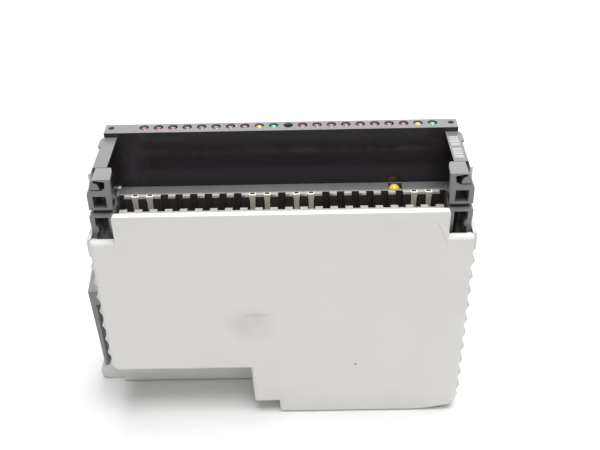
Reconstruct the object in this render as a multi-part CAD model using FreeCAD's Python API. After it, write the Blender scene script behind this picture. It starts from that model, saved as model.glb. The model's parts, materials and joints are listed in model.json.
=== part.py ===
"""Slim input/output module for a control rack, written as one STEP file per piece.

Millimetres. +X runs along the module's length, +Y through its thickness towards the side with the
indicator row, +Z from the rear face up to the indicator bar. The origin lies in the plane of the
rear rest face, midway along the housing and midway through its thickness.
"""

import FreeCAD, Part
import math
import os

V = FreeCAD.Vector
X_AXIS = V(1, 0, 0)
Y_AXIS = V(0, 1, 0)
Z_AXIS = V(0, 0, 1)

# ---- overall size ----
THICKNESS = 40.3
FAR_Y = THICKNESS / 2
NEAR_Y = -FAR_Y
TOP_Z = 105.0
PITCH = 5.08
POLES = 22
FIT_GAP = 0.05
OVERCUT = 1.0
JOIN = 0.1
TOUCH = 0.01

# ---- housing and its side plates ----
END_X = 64.4
WALL = 2.0
PLATE = 2.4
CORNER_X = 55.3
SHELF_Z = 82.4
MOUTH_FOOT_Z = 78.4
PLATE_TOP_Z = 92.6
OVERHANG_Z = 23.6
OVERHANG_X = -13.15
OVERHANG_FOOT_X = -12.45
STEP_X = -3.05
STEP_Z = 5.9
RAMP_X = 51.1
HEEL_X = 61.8
HEEL_Z = 2.2
EDGE_ROUND = 1.5
NEAR_INNER_Y = NEAR_Y + PLATE
FAR_INNER_Y = FAR_Y - PLATE
INNER_X = END_X - WALL

# ---- outline of the housing seen from the side: (x, z, corner radius) ----
SIDE_OUTLINE = (
    (-END_X, SHELF_Z, 1.2),
    (-CORNER_X, SHELF_Z, 0.0),
    (-CORNER_X, PLATE_TOP_Z, 0.8),
    (CORNER_X, PLATE_TOP_Z, 0.8),
    (CORNER_X, SHELF_Z, 0.0),
    (END_X, SHELF_Z, 1.2),
    (END_X, STEP_Z, 2.0),
    (HEEL_X, HEEL_Z, 1.5),
    (RAMP_X, 0.0, 6.0),
    (STEP_X, 0.0, 0.4),
    (STEP_X, STEP_Z, 0.0),
    (OVERHANG_FOOT_X, STEP_Z, 0.8),
    (OVERHANG_X, OVERHANG_Z, 0.6),
    (-END_X, OVERHANG_Z, 3.0),
)

# ---- ribs on the end walls ----
RIB_TIP_X = 65.7
RIB_TOP_Z = 70.5
RIB_PITCH = 6.6
RIB_DROP = 2.7
RIGHT_RIBS = 10
LEFT_RIBS = 7
RIGHT_RIB_FOOT_Z = 6.0
LEFT_RIB_FOOT_Z = 24.5
RIB_ROOT_X = 63.9
BAND_X = 65.4
BAND_BEVEL = 0.8
BAND_FOOT_Z = 75.8
BAND_ROOT_Z = 74.2

# ---- thin tongues of the housing outside the front frame ----
TONGUE_X = (62.3, 63.2)
TONGUE_Y = (-9.5, 7.0)
TONGUE_Z = (78.0, 102.9)

# ---- bosses, lug and snap fingers inside the housing ----
BOSS_R = 3.0
BOSS_HOLE_DEPTH = 8.0
LUG_R = 2.0
SPRING_BOSS_R = 2.2
FINGER_T = 1.4
FINGER_REACH = 5.0
FINGER_HALF = 4.0
FINGER_GAP = 0.2
FINGER_PLACES_Z = (60.0, 36.0)
FLOOR_FINGERS_X = (10.0, 40.0)

# ---- front frame ----
RAIL_OUT_X = 62.1
RAIL_TOP_Z = 103.3
RAIL_T = 1.6
RAIL_OUTLINE = ((57.4, 103.3), (62.1, 103.3), (62.1, 101.7), (60.5, 101.7), (57.4, 103.05))
RAIL_NEAR_Y = -6.15
SHOULDER = ((62.0, 7.2), (62.6, 7.3), (63.1, 8.2), (63.1, 12.6), (62.4, 14.05), (62.0, 14.05))
SCREEN_Y = 14.05
SCREEN_T = 1.0
LEDGE_Z = 82.7
LEDGE_T = 1.5
LEDGE_NEAR_Y = 1.4
BACK_WEB_Y = 15.9
FRAME_FOOT_Z = 79.0
FRAME_SKIN = 0.5
WEB_T = 1.2
WEB_GAP = 0.15
PLATE_GAP = 0.1
LINING_X = (59.95, 60.45)
LINING_TOP_Z = 101.65
POST_X = (56.55, 57.35)
POST_Y = (-0.6, 2.6)
TAB_X = (-59.9, -58.6)
TAB_Y = (12.7, 14.0)
TAB_T = 0.3

# ---- indicator bar and its lamps ----
BAR_X = 61.95
BAR_FOOT_Z = 101.4
BAR_LIP = 0.15
LAMP_Y = 17.65
LAMP_R = 1.6
LAMP_HOLE_R = 1.7
LAMP_TOP_Z = 104.9
LAMP_DOME_R = 1.9
LAMP_SLOTS = 21
FIRST_SLOT_X = -9.5 * PITCH
PEG_X = 59.8
PEG_R = 1.05
LAMP_BOARD_Z = (96.9, 98.5)
LAMP_BOARD_Y = (15.5, 19.3)
LAMP_BOARD_X = 57.5
LEAD = 0.5
LEAD_SPREAD = 1.27
LEAD_BELOW_BOARD = 1.2
LEAD_PLAY = 0.1
RIBBON_HALF = 10.0
RIBBON_T = 0.3
RIBBON_PLAY = 0.1
RIBBON_Y = (LAMP_BOARD_Y[0] - RIBBON_T, LAMP_BOARD_Y[0])
RIBBON_FOOT_Z = 77.2

# ---- end brackets: outlines are (x, z) points of the right-hand one ----
BRACKET_IN_X = 55.1
BRACKET_FACE_Y = -13.85
BRACKET_LIP_Y = -15.15
BRACKET_BACK_Y = RAIL_NEAR_Y - FIT_GAP
BRACKET_TOP_Z = 103.2
BRACKET_FACE_T = 1.4
CAP_FOOT_Z = 102.0
LEG_X = 63.9
LEG_FOOT_Z = 80.9
UPPER_FOOT_Z = 91.5
LOWER_TOP_Z = 90.0
UPPER_OUTLINE = ((55.1, 103.2), (61.1, 103.2), (62.2, 101.1), (62.65, 99.2), (62.65, 98.95), (63.35, 98.2),
                 (63.55, 97.2), (63.6, UPPER_FOOT_Z), (55.7, UPPER_FOOT_Z))
LOWER_OUTLINE = ((55.7, LOWER_TOP_Z), (63.6, LOWER_TOP_Z), (63.7, 87.7), (63.45, 85.2), (LEG_X, LEG_FOOT_Z),
                 (55.7, LEG_FOOT_Z))
CHEEK_X = (55.75, 56.25)
CHEEK_BACK_Y = -8.4
CHEEK_Z = (91.65, 101.95)
REAR_IN_X = 57.4
HOOK_POCKET = ((57.0, 102.2), (60.5, 102.8), (60.9, 102.3), (60.9, 98.95), (58.4, 98.95), (57.3, 99.9))
HOOK_TIP_X = 59.1
HOOK_FINGER = ((60.9, 102.0), (60.1, 101.8), (59.4, 101.1), (HOOK_TIP_X, 100.2), (HOOK_TIP_X, 99.35),
               (60.9, 99.35))
HOOK_SLIT_Z = (98.95, 99.35)
SQUARE_X = (57.4, 61.8)
SQUARE_Z = (92.3, 96.75)
BAY_X = (57.4, 61.95)
BAY_TOP_Z = 89.25
NUB_X = 62.9
NUB_Z = 84.3
NUB_R = 1.8
NECK_X = (56.2, 62.6)
NECK_SET_BACK = 1.5
POCKET_BACK_Y = -7.4
CAP_TAPER = ((54.0, -15.0), (55.1, -13.85), (55.4, -8.4), (56.1, -6.0), (54.0, -6.0))

# ---- terminal header ----
HEADER_X = 54.8
HEADER_END = 0.7
HEADER_Y = (-12.2, 0.8)
WING_X = 56.5
END_WALL_TOP_Z = 84.0
HEADER_FOOT_Z = 74.0
HEADER_TOP_Z = 88.2
TROUGH_Y = (-8.9, -1.7)
TROUGH_FLOOR_Z = 76.5
GROOVE_W = 2.5
GROOVE_FAR_Y = 0.1
GROOVE_NEAR_Y = -10.3
CAP_BEVEL = 0.6
PIN_W = 1.0
PIN_TOP_Z = 83.5
PIN_BEND_Z = 71.0
CODED_GROOVES = (-10, -9, -2, -1, 1, 2, 9, 10)
KEY_Y = (-1.62, GROOVE_FAR_Y - FIT_GAP)
KEY_FOOT_Z = TROUGH_FLOOR_Z + 0.5
KEY_TOP_Z = 88.3
KEY_HEAD_Z = 87.7
KEY_NECK_Z = 86.2
KEY_HEAD_HALF = 1.2
KEY_POST_HALF = 0.93
KEY_SLOT_HALF = 0.8
KEY_SLOT_NEAR_Y = -0.95
KEY_SLOT_FOOT_Z = 85.8

# ---- circuit boards ----
BOARD_Y = (3.35, 4.95)
BOARD_MID_Y = (BOARD_Y[0] + BOARD_Y[1]) / 2
BOARD_TOP_Z = 78.0
BOARD_X = 61.0
BOARD_OUTLINE = ((-BOARD_X, 27.1), (-8.0, 27.1), (-8.0, 9.0), (0.5, 9.0), (0.5, 4.0), (50.0, 4.0),
                 (BOARD_X, 8.0), (BOARD_X, BOARD_TOP_Z), (-BOARD_X, BOARD_TOP_Z))
BOARD_SCREWS = ((-52.0, 66.0), (52.0, 66.0), (30.0, 12.0))
SCREW_R = 1.25
SCREW_HOLE_R = 1.6
SCREW_LENGTH = 8.0
SCREW_HEAD_R = 2.4
SCREW_HEAD_T = 1.6
CROSS_REACH = 1.4
CROSS_HALF = 0.3
CROSS_DEPTH = 0.8

# ---- parts on the main board: sizes are width, depth from the board, height ----
ISOLATOR = (4.6, 3.4, 6.4)
ISOLATOR_PLACES = [(-50.0 + 10.0 * i, 56.0) for i in range(11)]
DRIVER = (17.0, 3.6, 7.0)
DRIVER_PLACES = [(-36.0 + 24.0 * i, 42.0) for i in range(4)]
CONTROLLER = (16.0, 2.6, 16.0)
CONTROLLER_PLACE = (32.0, 26.0)
CAN_R = 4.0
CAN_HEIGHT = 11.0
CAN_FOOT_Z = 20.0
CAN_PLACES_X = (4.0, 14.0, 50.0)

# ---- yellow button and its switch ----
BUTTON_X = 40.3
BUTTON_Y = 11.4
BUTTON_R = 2.0
BUTTON_DOME_Z = 81.3
BUTTON_FLANGE_R = 2.8
BUTTON_FLANGE_Z = (80.0, 81.15)
WINDOW_X = (BUTTON_X - 2.15, BUTTON_X + 2.75)
WINDOW_Y = (BUTTON_Y - 2.3, BUTTON_Y + 2.3)
STEM_R = 1.0
STEM_GAP = 0.06
STEM_FOOT_Z = 74.5
STEM_BORE_Z = 72.0
SWITCH_Z = (70.0, 76.0)
SWITCH_HALF = 3.0
BUTTON_SPRING_R = 1.8
BUTTON_SPRING_WIRE = 0.25
BUTTON_SPRING_TURNS = 2.5

# ---- connector and hook foot on the rear ----
BUS_X = (-66.0, -13.8)
BUS_Y = (-2.0, 9.25)
BUS_FOOT_Z = 0.5
BUS_WALL = 1.4
BUS_CAVITY_Z = 14.0
BUS_CONTACTS = 18
BUS_CONTACT_PITCH = 2.54
BUS_CONTACT_HALF = (0.6, 0.4)
BUS_CONTACT_Z = (7.6, 22.0)
FOOT_Y = (-0.15, 8.45)
FOOT_X = (-75.5, BUS_X[0])
FOOT_TOP_Z = 7.2

# ---- latch lever: its outline is (x, z) points ----
LEVER_Y = FOOT_Y
LEVER_OUTLINE = ((-73.1, 7.4), (-74.2, 45.4), (-72.2, 53.2), (-70.4, 53.2), (-70.4, 7.4))
LEVER_BEVEL = ((-0.25, 45.6), (-0.25, 54.0), (4.2, 54.0))
REBATE_X = (-72.0, -70.0)
REBATE_Y = (-1.0, 3.6)
REBATE_Z = (7.0, 39.0)
PIVOT_X = -72.3
PIVOT_Z = 43.6
PIVOT_R = 1.0
PIVOT_GAP = 0.05
PIN_COVER = 0.9
PIN_PLAY = 0.1
LUG_Y = (2.9, 5.4)
LUG_GAP = 0.25
LUG_ROOM = 4.0
LATCH_SPRING_Z = 50.0
LATCH_SPRING_X = (-70.8, -65.5)
LATCH_SPRING_R = 1.4
LATCH_SPRING_WIRE = 0.2
LATCH_SPRING_TURNS = 4
LATCH_SPRING_ROOM = 0.5


def box(x_span, y_span, z_span):
    """Rectangular block between the given pairs of limits."""
    size = [abs(span[1] - span[0]) for span in (x_span, y_span, z_span)]
    corner = V(min(x_span), min(y_span), min(z_span))
    return Part.makeBox(*size, corner)


def cylinder(radius, start, length, axis=Z_AXIS):
    """Round bar from a start point along an axis."""
    return Part.makeCylinder(radius, length, V(*start), axis)


def prism(points, y_span):
    """Block with an outline of (x, z) points, drawn through the thickness."""
    corners = [V(x, y_span[0], z) for x, z in points]
    face = Part.Face(Part.makePolygon(corners + corners[:1]))
    return face.extrude(V(0, y_span[1] - y_span[0], 0))


def rounded_face(corners, y):
    """Flat face with an outline of (x, z, corner radius) points."""
    edges = []
    tangents = []
    count = len(corners)
    for i, (x, z, radius) in enumerate(corners):
        here = V(x, y, z)
        before = V(corners[i - 1][0], y, corners[i - 1][1]) - here
        after = V(corners[(i + 1) % count][0], y, corners[(i + 1) % count][1]) - here
        half = before.getAngle(after) / 2
        reach = radius / math.tan(half)
        bisector = (before.normalize() + after.normalize()).normalize()
        middle = here + bisector * (radius / math.sin(half) - radius)
        tangents.append((here + before * reach, middle, here + after * reach, radius))
    for i, (start, middle, end, radius) in enumerate(tangents):
        if radius > 0:
            edges.append(Part.Arc(start, middle, end).toShape())
        edges.append(Part.LineSegment(end, tangents[(i + 1) % count][0]).toShape())
    return Part.Face(Part.Wire(edges))


def plan_prism(points, z_span):
    """Block with an outline of (x, y) points, drawn upwards."""
    corners = [V(x, y, z_span[0]) for x, y in points]
    face = Part.Face(Part.makePolygon(corners + corners[:1]))
    return face.extrude(V(0, 0, z_span[1] - z_span[0]))


def end_prism(points, x_span):
    """Block with an outline of (y, z) points, drawn along the length."""
    corners = [V(x_span[0], y, z) for y, z in points]
    face = Part.Face(Part.makePolygon(corners + corners[:1]))
    return face.extrude(V(x_span[1] - x_span[0], 0, 0))


def fuse(shapes):
    """One solid from touching or overlapping shapes."""
    whole = shapes[0]
    for shape in shapes[1:]:
        whole = whole.fuse(shape)
    return whole.removeSplitter()


def cut(shape, tools):
    """A shape with each tool taken away."""
    for tool in tools:
        shape = shape.cut(tool)
    return shape


def mirror_x(shape):
    """The same shape at the other end of the module."""
    return shape.mirror(V(0, 0, 0), X_AXIS)


def coil(radius, wire_radius, height, turns):
    """Round-wire spring standing on the XY plane, centred on the Z axis."""
    path = Part.makeHelix((height - 2 * wire_radius) / turns, height - 2 * wire_radius, radius)
    section = Part.Wire(Part.makeCircle(wire_radius, V(radius, 0, 0), Y_AXIS))
    spring = Part.Wire(path).makePipeShell([section], True, True)
    spring.translate(V(0, 0, wire_radius))
    return spring


def side_plate(y_outer, y_inner):
    """Flat side of the casing, with its outer edges at both ends rounded."""
    plate = rounded_face(SIDE_OUTLINE, y_inner).extrude(V(0, y_outer - y_inner, 0))
    edges = []
    for edge in plate.Edges:
        bounds = edge.BoundBox
        on_outer_face = abs(bounds.YMin - y_outer) < TOUCH and abs(bounds.YMax - y_outer) < TOUCH
        at_an_end = min(abs(bounds.XMin), abs(bounds.XMax)) > END_X - TOUCH
        if on_outer_face and at_an_end:
            edges.append(edge)
    return plate.makeFillet(EDGE_ROUND, edges)


def rib_outline(count, foot_z):
    """Outline of the plain band and the saw-tooth ribs below it on the right-hand end wall."""
    points = [(RIB_ROOT_X, SHELF_Z), (BAND_X - BAND_BEVEL, SHELF_Z), (BAND_X, SHELF_Z - BAND_BEVEL),
              (BAND_X, BAND_FOOT_Z), (END_X, BAND_ROOT_Z)]
    for n in range(count):
        tip_z = RIB_TOP_Z - n * RIB_PITCH
        points.append((RIB_TIP_X, tip_z))
        points.append((END_X, tip_z - RIB_DROP))
    slope = (RIB_TIP_X - END_X) / (RIB_PITCH - RIB_DROP)
    points.append((END_X + slope * (points[-1][1] - foot_z), foot_z))
    points.append((RIB_ROOT_X, foot_z))
    return points


def ribs():
    """Finger ribs on both end walls, between the two side plates."""
    span = (NEAR_INNER_Y, FAR_INNER_Y)
    right = prism(rib_outline(RIGHT_RIBS, RIGHT_RIB_FOOT_Z), span)
    left = mirror_x(prism(rib_outline(LEFT_RIBS, LEFT_RIB_FOOT_Z), span))
    return [right, left]


def housing():
    """Casing tub: far side plate, ribbed end walls, stepped rear floor, bosses and lever lug."""
    outline = rounded_face(SIDE_OUTLINE, NEAR_INNER_Y)
    inside = outline.makeOffset2D(-WALL)
    band = outline.cut(inside).extrude(V(0, FAR_INNER_Y - NEAR_INNER_Y, 0))
    mouth = box((-INNER_X, INNER_X), (NEAR_INNER_Y - OVERCUT, FAR_INNER_Y), (MOUTH_FOOT_Z, TOP_Z))
    solids = [cut(band, [mouth]), side_plate(FAR_Y, FAR_INNER_Y)] + ribs()
    leg_room = box((BRACKET_IN_X, LEG_X + FIT_GAP), (NEAR_INNER_Y, BRACKET_BACK_Y),
                   (LEG_FOOT_Z - FIT_GAP, TOP_Z))
    solids = [cut(fuse(solids), [leg_room, mirror_x(leg_room)])]
    tongue = box(TONGUE_X, TONGUE_Y, TONGUE_Z)
    solids += [tongue, mirror_x(tongue)]
    for x, z in BOARD_SCREWS:
        boss = cylinder(BOSS_R, (x, BOARD_Y[1], z), FAR_INNER_Y - BOARD_Y[1], Y_AXIS)
        hole = cylinder(SCREW_R, (x, BOARD_Y[1] - OVERCUT, z), BOSS_HOLE_DEPTH + OVERCUT, Y_AXIS)
        solids.append(cut(boss, [hole]))
    solids.append(lever_lug())
    root_x = -INNER_X - WALL / 4
    solids.append(cylinder(SPRING_BOSS_R, (root_x, BOARD_MID_Y, LATCH_SPRING_Z), root_x - LATCH_SPRING_X[1],
                           -X_AXIS))
    return fuse(solids)


def lever_lug():
    """Tongue on the left end wall that carries the lever's pin."""
    arm = box((PIVOT_X, -INNER_X), LUG_Y, (PIVOT_Z - LUG_R, PIVOT_Z + LUG_R))
    nose = cylinder(LUG_R, (PIVOT_X, LUG_Y[0], PIVOT_Z), LUG_Y[1] - LUG_Y[0], Y_AXIS)
    start = (PIVOT_X, LUG_Y[0] - OVERCUT, PIVOT_Z)
    bore = cylinder(PIVOT_R, start, LUG_Y[1] - LUG_Y[0] + 2 * OVERCUT, Y_AXIS)
    return cut(fuse([arm, nose]), [bore])


def side_cover():
    """Near side plate with snap fingers that enter the tub."""
    solids = [side_plate(NEAR_Y, NEAR_INNER_Y)]
    depth = (NEAR_INNER_Y - FIT_GAP, NEAR_INNER_Y + FINGER_REACH)
    x = INNER_X - FINGER_GAP
    for z in FINGER_PLACES_Z:
        solids.append(box((x - FINGER_T, x), depth, (z - FINGER_HALF, z + FINGER_HALF)))
        solids.append(mirror_x(solids[-1]))
    foot_z = WALL + FINGER_GAP
    for x in FLOOR_FINGERS_X:
        solids.append(box((x - FINGER_HALF, x + FINGER_HALF), depth, (foot_z, foot_z + FINGER_T)))
    return fuse(solids)


def front_frame():
    """Grey frame: end rails, ledge behind the header, and the box behind the indicator bar."""
    solids = [box((-RAIL_OUT_X, RAIL_OUT_X), (LEDGE_NEAR_Y, BACK_WEB_Y), (LEDGE_Z - LEDGE_T, LEDGE_Z))]
    rail_foot_z = RAIL_TOP_Z - RAIL_T
    web_back_y = FAR_INNER_Y - WEB_GAP
    web_top_z = PLATE_TOP_Z + PLATE_GAP
    rail_y = (RAIL_NEAR_Y, SCREEN_Y)
    outer_x = (RAIL_OUT_X - RAIL_T, RAIL_OUT_X)
    rail = [
        prism(RAIL_OUTLINE, rail_y),
        plan_prism(SHOULDER, (rail_foot_z, RAIL_TOP_Z)),
        box(outer_x, rail_y, (FRAME_FOOT_Z, rail_foot_z)),
        box(outer_x, (SCREEN_Y, web_back_y), (FRAME_FOOT_Z, web_top_z)),
        box(outer_x, (SCREEN_Y, FAR_Y), (web_top_z, BAR_FOOT_Z)),
        box(POST_X, POST_Y, (LEDGE_Z - LEDGE_T, HEADER_TOP_Z)),
    ]
    solids += rail + [mirror_x(shape) for shape in rail]
    span = (-RAIL_OUT_X, RAIL_OUT_X)
    solids.append(box(span, (BACK_WEB_Y, web_back_y), (FRAME_FOOT_Z, web_top_z + WEB_T)))
    solids.append(box(span, (BACK_WEB_Y, FAR_Y), (web_top_z, web_top_z + WEB_T)))
    solids.append(box(span, (FAR_Y - FRAME_SKIN, FAR_Y), (web_top_z, BAR_FOOT_Z)))
    through_z = (LEDGE_Z - LEDGE_T - OVERCUT, LEDGE_Z + OVERCUT)
    window = box(WINDOW_X, WINDOW_Y, through_z)
    ribbon_slot = box((-RIBBON_HALF - RIBBON_PLAY, RIBBON_HALF + RIBBON_PLAY),
                      (RIBBON_Y[0] - RIBBON_PLAY, RIBBON_Y[1] + RIBBON_PLAY), through_z)
    return cut(fuse(solids), [window, ribbon_slot])


def recess_screen():
    """Black glossy lining: the wall below the indicator bar and the sides under the rails."""
    wall_y = (SCREEN_Y, SCREEN_Y + SCREEN_T)
    inner_x = RAIL_OUT_X - RAIL_T
    side = box(LINING_X, (RAIL_NEAR_Y, SCREEN_Y), (LEDGE_Z, LINING_TOP_Z))
    return fuse([
        box((-BAR_X, BAR_X), wall_y, (RAIL_TOP_Z, TOP_Z - BAR_LIP)),
        box((-inner_x, inner_x), wall_y, (LEDGE_Z, RAIL_TOP_Z)),
        side,
        mirror_x(side),
    ])


def ledge_tab():
    """Small pale tab at the left end of the ledge, against the lining."""
    return box(TAB_X, TAB_Y, (LEDGE_Z, LEDGE_Z + TAB_T))


def slot_x(slot):
    """Place of an indicator along the bar."""
    return FIRST_SLOT_X + slot * PITCH


def indicator_bar():
    """Solid bar along the top edge with a row of lamp holes and a peg hole at each end."""
    bar = fuse([
        box((-BAR_X, BAR_X), (SCREEN_Y, FAR_Y), (TOP_Z - BAR_LIP, TOP_Z)),
        box((-BAR_X, BAR_X), (SCREEN_Y + SCREEN_T + FIT_GAP, FAR_Y), (BAR_FOOT_Z, TOP_Z - BAR_LIP)),
    ])
    foot_z = BAR_FOOT_Z - OVERCUT
    height = TOP_Z + OVERCUT - foot_z
    holes = [cylinder(LAMP_HOLE_R, (slot_x(i), LAMP_Y, foot_z), height) for i in range(LAMP_SLOTS)]
    pegs = [cylinder(PEG_R, (x, LAMP_Y, foot_z), height) for x in (-PEG_X, PEG_X)]
    return cut(bar, holes + pegs)


def lamp(slot):
    """One round indicator lamp with a flat-domed top, standing on the lamp board."""
    x = slot_x(slot)
    body = cylinder(LAMP_R, (x, LAMP_Y, LAMP_BOARD_Z[1]), LAMP_TOP_Z - LAMP_BOARD_Z[1])
    foot_z = LAMP_BOARD_Z[1] - LAMP_DOME_R
    stadium = cylinder(LAMP_DOME_R, (x, LAMP_Y, foot_z), LAMP_TOP_Z - LAMP_DOME_R - foot_z)
    dome = Part.makeSphere(LAMP_DOME_R, V(x, LAMP_Y, LAMP_TOP_Z - LAMP_DOME_R))
    return body.common(fuse([stadium, dome]))


def lamp_names():
    """Indicator colour of each slot, numbered along the bar."""
    group = ["red"] * 8 + ["yellow", "green"]
    colours = group + [None] + group
    counts = {}
    names = {}
    for slot, colour in enumerate(colours):
        if colour is None:
            continue
        counts[colour] = counts.get(colour, 0) + 1
        names[slot] = "%s_lamp_%02d" % (colour, counts[colour])
    return names


def lead_boxes(margin):
    """The square leads of every lamp, grown by a margin for their holes."""
    half = LEAD / 2 + margin
    leads = []
    for slot in lamp_names():
        for side in (-1, 1):
            x = slot_x(slot) + side * LEAD_SPREAD / 2
            leads.append(box((x - half, x + half), (LAMP_Y - half, LAMP_Y + half),
                             (LAMP_BOARD_Z[0] - LEAD_BELOW_BOARD, LAMP_BOARD_Z[1])))
    return leads


def lamp_board():
    """Narrow circuit board under the indicator bar."""
    board = box((-LAMP_BOARD_X, LAMP_BOARD_X), LAMP_BOARD_Y, LAMP_BOARD_Z)
    return cut(board, lead_boxes(LEAD_PLAY))


def end_bracket():
    """Right-hand bracket: a capped block with a hook pocket, a square pocket and a lower bay."""
    face = BRACKET_FACE_Y
    back = BRACKET_BACK_Y
    behind = back + OVERCUT
    before = face - OVERCUT
    depth = (BRACKET_LIP_Y, back)
    upper = prism(UPPER_OUTLINE, (face, back))
    below = UPPER_FOOT_Z - OVERCUT
    cheek_room = box((BRACKET_IN_X - OVERCUT, CHEEK_X[1] + FIT_GAP), (face + BRACKET_FACE_T, behind),
                     (below, CAP_FOOT_Z))
    taper = plan_prism(CAP_TAPER, (below, BRACKET_TOP_Z + OVERCUT))
    upper = cut(upper, [cheek_room, taper])
    lower = prism(LOWER_OUTLINE, depth)
    rear_room = box((BRACKET_IN_X - OVERCUT, REAR_IN_X), (CHEEK_BACK_Y, behind),
                    (LEG_FOOT_Z - OVERCUT, CAP_FOOT_Z))
    neck = box(NECK_X, (face + NECK_SET_BACK, back), (LOWER_TOP_Z - JOIN, UPPER_FOOT_Z + JOIN))
    hook = prism(HOOK_POCKET, (before, POCKET_BACK_Y))
    slit = box((HOOK_TIP_X, END_X), (before, POCKET_BACK_Y), HOOK_SLIT_Z)
    square = box(SQUARE_X, (before, behind), SQUARE_Z)
    bay = box(BAY_X, (BRACKET_LIP_Y - OVERCUT, behind), (LEG_FOOT_Z - OVERCUT, BAY_TOP_Z))
    block = cut(fuse([upper, lower, neck]), [rear_room, hook, slit, square, bay])
    finger = prism(HOOK_FINGER, (face, POCKET_BACK_Y + JOIN))
    nub = cylinder(NUB_R, (NUB_X, BRACKET_LIP_Y, NUB_Z), depth[1] - depth[0], Y_AXIS)
    nub = nub.common(box((NUB_X - NUB_R, BAY_X[1] + JOIN), depth, (NUB_Z - NUB_R, NUB_Z + NUB_R)))
    tongue_room = box((TONGUE_X[0] - FIT_GAP, TONGUE_X[1] + 2 * OVERCUT), (TONGUE_Y[0] - FIT_GAP, behind),
                      (LEG_FOOT_Z - OVERCUT, BRACKET_TOP_Z + OVERCUT))
    return cut(fuse([block, finger, nub]), [tongue_room])


def bracket_cheek():
    """Thin black plate on the inner side of the right-hand bracket."""
    return box(CHEEK_X, (BRACKET_FACE_Y + BRACKET_FACE_T + FIT_GAP, CHEEK_BACK_Y), CHEEK_Z)


def groove_boxes(limit_x, y_span, z_span):
    """Coding grooves between the poles, one at every whole pitch, clipped at both ends."""
    half = GROOVE_W / 2
    reach = int((limit_x + half) // PITCH)
    places = [k * PITCH for k in range(-reach, reach + 1)]
    return [box((max(x - half, -limit_x), min(x + half, limit_x)), y_span, z_span) for x in places]


def terminal_header():
    """Dark socket body with one long trough, and a castellated rim of grooves and bevelled caps."""
    z_span = (HEADER_FOOT_Z, HEADER_TOP_Z)
    wings = box((-WING_X, WING_X), (TROUGH_Y[1], HEADER_Y[1]), z_span)
    body = fuse([box((-HEADER_X, HEADER_X), HEADER_Y, z_span), wings])
    above = HEADER_TOP_Z + OVERCUT
    inside_z = (TROUGH_FLOOR_Z, above)
    trough_x = HEADER_X - HEADER_END
    near_y = TROUGH_Y[0] + OVERCUT
    far_y = TROUGH_Y[1] - OVERCUT
    bevel_z = HEADER_TOP_Z - CAP_BEVEL
    bevel = [(far_y, bevel_z), (TROUGH_Y[1], bevel_z), (TROUGH_Y[1] + CAP_BEVEL, HEADER_TOP_Z),
             (far_y, HEADER_TOP_Z)]
    hollows = [
        box((-trough_x, trough_x), TROUGH_Y, inside_z),
        box((-WING_X, WING_X), TROUGH_Y, (END_WALL_TOP_Z, above)),
        end_prism(bevel, (-WING_X, WING_X)),
    ]
    grooves = groove_boxes(WING_X, (far_y, GROOVE_FAR_Y), inside_z)
    grooves += groove_boxes(trough_x, (GROOVE_NEAR_Y, near_y), inside_z)
    half = PIN_W / 2
    pin_y = sum(TROUGH_Y) / 2
    pins = [box((x - half, x + half), (pin_y - half, pin_y + half),
                (HEADER_FOOT_Z - OVERCUT, TROUGH_FLOOR_Z + OVERCUT)) for x in pole_places()]
    return cut(body, hollows + grooves + pins)


def pole_places():
    """X place of every terminal pole."""
    return [(i - POLES / 2 + 0.5) * PITCH for i in range(POLES)]


def terminal_pins():
    """Square pins that stand in the header and bend back to the main board."""
    half = PIN_W / 2
    pin_y = sum(TROUGH_Y) / 2
    pins = []
    for x in pole_places():
        upright = box((x - half, x + half), (pin_y - half, pin_y + half), (PIN_BEND_Z, PIN_TOP_Z))
        tail = box((x - half, x + half), (pin_y - half, BOARD_Y[0]), (PIN_BEND_Z, PIN_BEND_Z + PIN_W))
        pins.append(fuse([upright, tail]))
    return Part.makeCompound(pins)


def coding_profile(groove):
    """White key pushed into one groove: a post with a wide funnel head and a slot in its back."""
    x = groove * PITCH
    outline = [
        (x - KEY_POST_HALF, KEY_FOOT_Z),
        (x + KEY_POST_HALF, KEY_FOOT_Z),
        (x + KEY_POST_HALF, KEY_NECK_Z),
        (x + KEY_HEAD_HALF, KEY_HEAD_Z),
        (x + KEY_HEAD_HALF, KEY_TOP_Z),
        (x - KEY_HEAD_HALF, KEY_TOP_Z),
        (x - KEY_HEAD_HALF, KEY_HEAD_Z),
        (x - KEY_POST_HALF, KEY_NECK_Z),
    ]
    slot = box((x - KEY_SLOT_HALF, x + KEY_SLOT_HALF), (KEY_SLOT_NEAR_Y, KEY_Y[1] + OVERCUT),
               (KEY_SLOT_FOOT_Z, KEY_TOP_Z + OVERCUT))
    return cut(prism(outline, KEY_Y), [slot])


def main_board():
    """Upright circuit board in the middle of the housing."""
    length = BOARD_Y[1] - BOARD_Y[0] + 2 * OVERCUT
    holes = [cylinder(SCREW_HOLE_R, (x, BOARD_Y[0] - OVERCUT, z), length, Y_AXIS) for x, z in BOARD_SCREWS]
    return cut(prism(BOARD_OUTLINE, BOARD_Y), holes)


def board_screws():
    """Pan-head screws that hold the main board to the bosses."""
    screws = []
    recess_y = (BOARD_Y[0] - SCREW_HEAD_T - OVERCUT, BOARD_Y[0] - SCREW_HEAD_T + CROSS_DEPTH)
    for x, z in BOARD_SCREWS:
        head = cylinder(SCREW_HEAD_R, (x, BOARD_Y[0], z), SCREW_HEAD_T, -Y_AXIS)
        shank = cylinder(SCREW_R, (x, BOARD_Y[0], z), SCREW_LENGTH, Y_AXIS)
        recess = fuse([
            box((x - CROSS_REACH, x + CROSS_REACH), recess_y, (z - CROSS_HALF, z + CROSS_HALF)),
            box((x - CROSS_HALF, x + CROSS_HALF), recess_y, (z - CROSS_REACH, z + CROSS_REACH)),
        ])
        screws.append(cut(fuse([head, shank]), [recess]))
    return Part.makeCompound(screws)


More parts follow.
